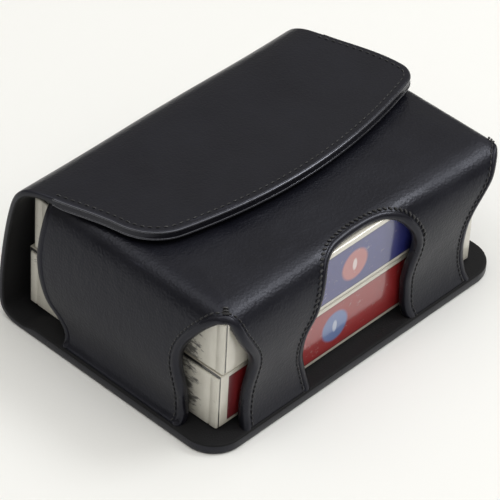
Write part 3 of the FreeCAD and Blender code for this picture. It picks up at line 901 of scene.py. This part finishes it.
def plain_board(name):
    """Uncoated cream board with fibres, dark smudges and painted shade by the corner window's rim.
    """
    s = Shader(name)
    fibre = s.noise(700, 5.0, 0.65, (1.0, 1.0, 0.3))
    colour = s.mix(fibre, (0.60, 0.58, 0.51), (0.78, 0.76, 0.69))
    parts = s.node("ShaderNodeSeparateXYZ")
    s.set(parts.inputs[0], s.coordinates)
    # Smudges and painted shade: streaks darken the end most around y = -19 mm, by the corner
    # window's rim, and fade away from it.
    painted_shade_ramp = s.remap(s.math("ABSOLUTE", s.math("ADD", parts.outputs[1], 0.0190)), 0.0030,
                     0.0085, 0.46, 0.68)
    streaks = s.noise(190, 7.0, 0.72, (1.0, 1.0, 3.2))
    smudges_and_painted_shade = s.remap(s.math("SUBTRACT", streaks, painted_shade_ramp), -0.05, 0.04, 0.0, 0.85)
    colour = s.mix(smudges_and_painted_shade, colour, (0.05, 0.048, 0.05))
    return s.finish(Base_Color=colour, Roughness=0.42, Normal=s.bump(fibre, 0.12, 0.0001),
                    Coat_Weight=0.4, Coat_Roughness=0.2)


# ---------------------------------------------------------------- the decks

def soft_block(name, low, high, radius, materials, middle, swell):
    """A folded-board block with rounded edges and slightly swollen faces."""
    sheet = Sheet()
    low, high = np.array(low, float), np.array(high, float)
    sizes = high - low
    centre = (low + high) / 2
    rulers = [ruler(size, radius) for size in sizes]
    for axis in range(3):
        a, b = [k for k in range(3) if k != axis]
        for sign in (-1, 1):
            rows = []
            for v in rulers[a]:
                row = []
                for w in rulers[b]:
                    point = np.zeros(3)
                    point[axis], point[a], point[b] = sign * sizes[axis] / 2, v, w
                    row.append(centre + rounded(point, sizes, radius, swell))
                rows.append(row)
            sheet.grid(rows, 0)
    piece = sheet.build(name, materials, weld=0.002)
    shift = Matrix.Translation(Vector(middle) * MM)
    piece.data.transform(shift.inverted())
    piece.matrix_world = shift
    return piece


def ruler(size, radius):
    """Grid values along one side of a block, close together at its rounded edges."""
    inner = np.linspace(-size / 2 + radius, size / 2 - radius, 11)
    outer = [-size / 2 + radius - radius * math.sin(a) for a in np.linspace(math.pi / 2, 0, 5)]
    return np.array(outer[:-1] + list(inner) + [-v for v in outer[::-1]][1:])


def rounded(point, sizes, radius, swell):
    """Move a point of a box's face onto the rounded, slightly swollen box."""
    core = np.clip(point, -sizes / 2 + radius, sizes / 2 - radius)
    out = unit(point - core)
    flatness = np.prod(1 - (core / (sizes / 2)) ** 2)
    return core + out * (radius + swell * flatness)


def deck(prefix, front, level, shift, printed, plain):
    """One tuck box with its closed end, a solid block that stands for the box and its cards."""
    length, depth, height = 91.0, 65.0, 17.2
    low = (shift - length / 2 + 1.2, front, level + 0.45)
    high = (shift + length / 2 - 0.1, front + depth, level + height - 0.4)
    middle = (shift, front + depth / 2, level + height / 2)
    box = soft_block(f"{prefix}_tuck_box_board", low, high, 0.55, [printed], middle, 0.1)
    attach(box, CASE)
    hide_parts(f"{prefix}_tuck_box", f"{prefix}_cards")
    end = tuck_end(f"{prefix}_tuck_end", shift - length / 2, front, level, depth, height, plain)
    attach(end, CASE)
    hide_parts(f"{prefix}_tuck_flap")
    return box


def tuck_end(name, x, front, level, depth, height, plain):
    """Closed end of a tuck box: folded flap, crease lines and the slit by the lid."""
    sheet = Sheet()
    y_low, y_high = front + 0.35, front + depth - 1.0
    z_low, z_high = level + 0.45, level + height - 1.25
    ys = clustered(y_low, y_high, 2.4, [y_low + v for v in (0.1, 0.3, 0.7, 2.2, 2.5, 2.8)]
                   + [y_high - v for v in (0.1, 0.3, 0.7, 2.2, 2.5, 2.8)])
    zs = clustered(z_low, z_high, 1.3, [z_low + 0.2, z_low + 0.5, z_high - 0.15, z_high - 0.4])
    rows = []
    for z in zs:
        row = []
        for y in ys:
            near = min(y - y_low, y_high - y)
            dip = 0.5 * math.exp(-(near - 2.5) ** 2 / 0.05)
            rounding = 0.35 * math.exp(-near / 0.25) + 0.3 * math.exp(-(z_high - z) / 0.2)
            belly = 0.25 * math.sin(math.pi * (y - y_low) / (y_high - y_low))
            row.append((x + 0.55 - belly + 0.4 * dip + rounding, y, z))
        rows.append(row)
    inner = [[(p[0] + 0.5, p[1], p[2]) for p in row] for row in rows]
    sheet.shell(rows, inner, (0, 0, 0))
    return sheet.build(name, [plain])


# ---------------------------------------------------------------- closure discs

def discs(name, node, lift, body, material):
    """Low round discs with a chamfer, where the CAD node has them."""
    low, high = (np.array(corner) / MM + (0, 0, lift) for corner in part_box(node))
    radius = (high[1] - low[1]) / 2
    sheet = Sheet()
    for x in (low[0] + radius, high[0] - radius):
        rings = []
        for reach, z in ((0.0, low[2]), (radius - 0.2, low[2]), (radius, low[2] + 0.2),
                         (radius, high[2] - 0.2), (radius - 0.2, high[2]), (0.0, high[2])):
            rings.append([np.array([x + max(reach, 0.01) * math.cos(a),
                                    (low[1] + high[1]) / 2 + max(reach, 0.01) * math.sin(a), z])
                          for a in np.linspace(0, 2 * math.pi, 33)[:-1]])
        sweep(sheet, rings)
    piece = sheet.build(name, [material])
    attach(piece, body)
    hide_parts(node)
    return sharpen(piece)


# ---------------------------------------------------------------- stage and camera

HORIZON, OVERHEAD = 0.06, 0.50

def stage():
    """A plain pale floor that fades into a pale world, with soft studio light."""
    s = Shader("floor_finish")
    colour = s.mix(s.noise(8, 2.0), (0.85, 0.85, 0.835), (0.87, 0.87, 0.855))
    s.finish(Base_Color=colour, Roughness=0.6, Specular_IOR_Level=0.3)
    sheet = Sheet()
    sheet.grid([[(-4000, -4000, -0.05), (4000, -4000, -0.05)],
                [(-4000, 4000, -0.05), (4000, 4000, -0.05)]])
    floor = sheet.build("floor", [s.material])
    sky()


def sky():
    """A pale world that is bright overhead and dim at the horizon."""
    world = bpy.data.worlds.new("studio")
    bpy.context.scene.world = world
    world.use_nodes = True
    tree = world.node_tree
    parts = tree.nodes.new("ShaderNodeSeparateXYZ")
    tree.links.new(tree.nodes.new("ShaderNodeTexCoord").outputs["Generated"], parts.inputs[0])
    rise = tree.nodes.new("ShaderNodeMapRange")
    rise.interpolation_type = "SMOOTHSTEP"
    for name, number in (("From Min", 0.05), ("From Max", 0.45), ("To Min", HORIZON),
                         ("To Max", OVERHEAD)):
        rise.inputs[name].default_value = number
    tree.links.new(parts.outputs[2], rise.inputs["Value"])
    background = tree.nodes["Background"]
    background.inputs["Color"].default_value = (1.0, 0.965, 0.89, 1)
    tree.links.new(rise.outputs["Result"], background.inputs["Strength"])


def area_light(name, position, size, power, colour, target=(0, 0, 0.02)):
    data = bpy.data.lights.new(name, "AREA")
    data.shape = "RECTANGLE"
    data.size, data.size_y = size
    data.energy = power
    data.color = colour
    light = bpy.data.objects.new(name, data)
    bpy.context.scene.collection.objects.link(light)
    light.location = position
    aim = Vector(target) - Vector(position)
    light.rotation_euler = aim.to_track_quat("-Z", "Y").to_euler()


def camera(azimuth, elevation, roll, distance, focal, target):
    """A camera with no depth of field that looks at target."""
    data = bpy.data.cameras.new("camera")
    data.sensor_width = 36.0
    data.lens = focal
    data.clip_start, data.clip_end = 0.05, 20.0
    view = bpy.data.objects.new("camera", data)
    bpy.context.scene.collection.objects.link(view)
    a, e, r = (math.radians(v) for v in (azimuth, elevation, roll))
    back = Vector((math.sin(a) * math.cos(e), -math.cos(a) * math.cos(e), math.sin(e)))
    right = Vector((0, 0, 1)).cross(back).normalized()
    up = back.cross(right)
    turned_right = right * math.cos(r) + up * math.sin(r)
    turned_up = up * math.cos(r) - right * math.sin(r)
    turn = Matrix((turned_right, turned_up, back)).transposed().to_4x4()
    view.matrix_world = Matrix.Translation((Vector(target) + back * distance) * MM) @ turn
    bpy.context.scene.camera = view


# ---------------------------------------------------------------- assembly

black = leather("black_leather_grain", (0.0045, 0.0046, 0.0078), (0.0070, 0.0072, 0.0110),
                0.34, 1.7)
edging = leather("edge_leather_smooth", (0.0040, 0.0040, 0.0060), (0.0065, 0.0065, 0.0095),
                 0.30, 0.6)
polish = leather("edge_leather_burnished", (0.006, 0.006, 0.007), (0.010, 0.010, 0.012),
                 0.17, 0.3, 1.0)
lining = woven_lining("black_lining_weave")
thread = thread_finish("black_thread")
steel = brushed_metal("brushed_steel", (0.55, 0.55, 0.56))
nickel = brushed_metal("nickel_plate", (0.66, 0.64, 0.60))
board = plain_board("cream_board")
red_print = printed_board("red_band_board", (0.36, 0.018, 0.020), (0.20, 0.01, 0.012),
                          (0.13, 0.24, 0.50), (0.62, 0.68, 0.80), 0.0416, -0.0047)
blue_print = printed_board("blue_band_board", (0.022, 0.028, 0.20), (0.015, 0.018, 0.11),
                           (0.52, 0.17, 0.15), (0.80, 0.72, 0.72), 0.0370, -0.0005)

skins = [black, lining, edging]
for piece in (strap_lower(skins), strap_upper(skins), pocket(skins)):
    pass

front_window = (opening_path(front_left_edge, front_right_edge, FRONT_P),
                np.array([FRONT_P, 10.0]))
left_window = (opening_path(corner_side_edge, corner_front_edge, LEFT_CORNER_P),
               np.array([LEFT_CORNER_P, 10.0]))
right_window = (opening_path(corner_front_edge, corner_side_edge, RIGHT_CORNER_P),
                np.array([RIGHT_CORNER_P, 10.0]))
left_rear = (np.array(rear_edge), np.array([-20.0, 0.0]))
right_rear = (np.array([(TOTAL_P - p, c) for p, c in rear_edge]),
              np.array([TOTAL_P + 20.0, 0.0]))

for name, path, node in (("front_window_rim", front_window, "front_window_binding"),
                         ("left_window_rim", left_window, "left_corner_binding"),
                         ("right_window_rim", right_window, "right_corner_binding")):
    binding(name, [path], ROLLED_SECTION, [edging], [node])
binding("rear_edge_rims", [left_rear, right_rear], SLIM_SECTION, [edging])

arch, legs = split_opening(front_window, ARCH_C)
wall_stitches("front_window_beads", [arch], 2.1, [thread], ["front_window_stitching"],
                      pitch=1.42, length=0.9, radius=0.36, slant=0.45)
wall_stitches("corner_window_beads", [left_window, right_window, *legs], 2.0, [thread],
                      ["corner_window_stitching"], radius=0.22)
corner_tacks("corner_tacks", (LEFT_CORNER_P, RIGHT_CORNER_P), [thread])
strap_stitches("flap_beads", rim_path(1.75, True, FLAP_TIP_S - TOP_FOLD_S - 16),
                       [thread], FLAP, ["flap_stitching"])
burnished_edge("flap_edge_line", rim_path(0.2, True, FLAP_TIP_S - TOP_FOLD_S - 16), 0.36,
                       polish)
strap_stitches("base_beads", rim_path(1.6, False, BASE_RUN - 8), [thread], CASE,
                       ["base_stitching"])

discs("closure_magnets", "flap_magnets", 0.7, FLAP, nickel)
discs("closure_strikes", "strike_plates", 0.0, CASE, steel)

deck("lower", -32.1, BASE_TOP - 0.15, 0.0, red_print, board)
deck("upper", -32.9, BASE_TOP + 17.2, 0.6, blue_print, board)

stage()
bpy.context.scene.view_settings.view_transform = "Standard"
area_light("overhead", (0.35, -0.35, 1.0), (1.5, 1.2), 8.0, (0.985, 0.995, 1.0),
           (0.35, -0.35, 0.0))
area_light("window", (0.80, -0.44, 1.08), (0.38, 0.38), 4.4, (0.985, 0.995, 1.0))
area_light("side", (-0.5, 0.45, 1.1), (0.8, 0.7), 2.4, (1.0, 0.995, 0.985))
camera(-48.22, 40.59, 3.21, 837.91, 249.9, (36.1 - 45.5, 24.54 - 32.2, 23.0))

bpy.context.view_layer.update()
